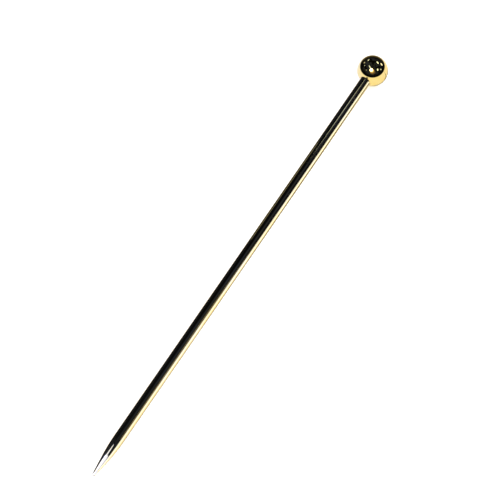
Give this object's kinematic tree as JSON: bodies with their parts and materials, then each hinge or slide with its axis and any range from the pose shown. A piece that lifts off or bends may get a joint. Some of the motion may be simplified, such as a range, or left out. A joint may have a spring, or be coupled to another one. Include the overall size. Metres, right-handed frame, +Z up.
{
  "type": "hat pin",
  "caption": "Straight gold-plated pin with a mirror-polished ball head, a plain round shank and a short tapered point",
  "frame": {"origin": "on the pin's axis at the pole of the ball that faces the point, where the clean shank begins", "axes": "+X runs along the pin from the ball to the point, +Z is up when the pin lies on a table, +Y completes a right-handed frame"},
  "size_m": [0.118, 0.0068, 0.0068],
  "materials": {
    "gold_head": "mirror-polished gold plating on brass",
    "gold_shank": "polished gold plating on drawn brass wire",
    "gold_solder": "solder under the same gold plating, slightly duller"
  },
  "bodies": {
    "root": {"head_ball": "gold_head", "shank": "gold_shank", "solder_joint": "gold_solder"}
  },
  "joints": []
}
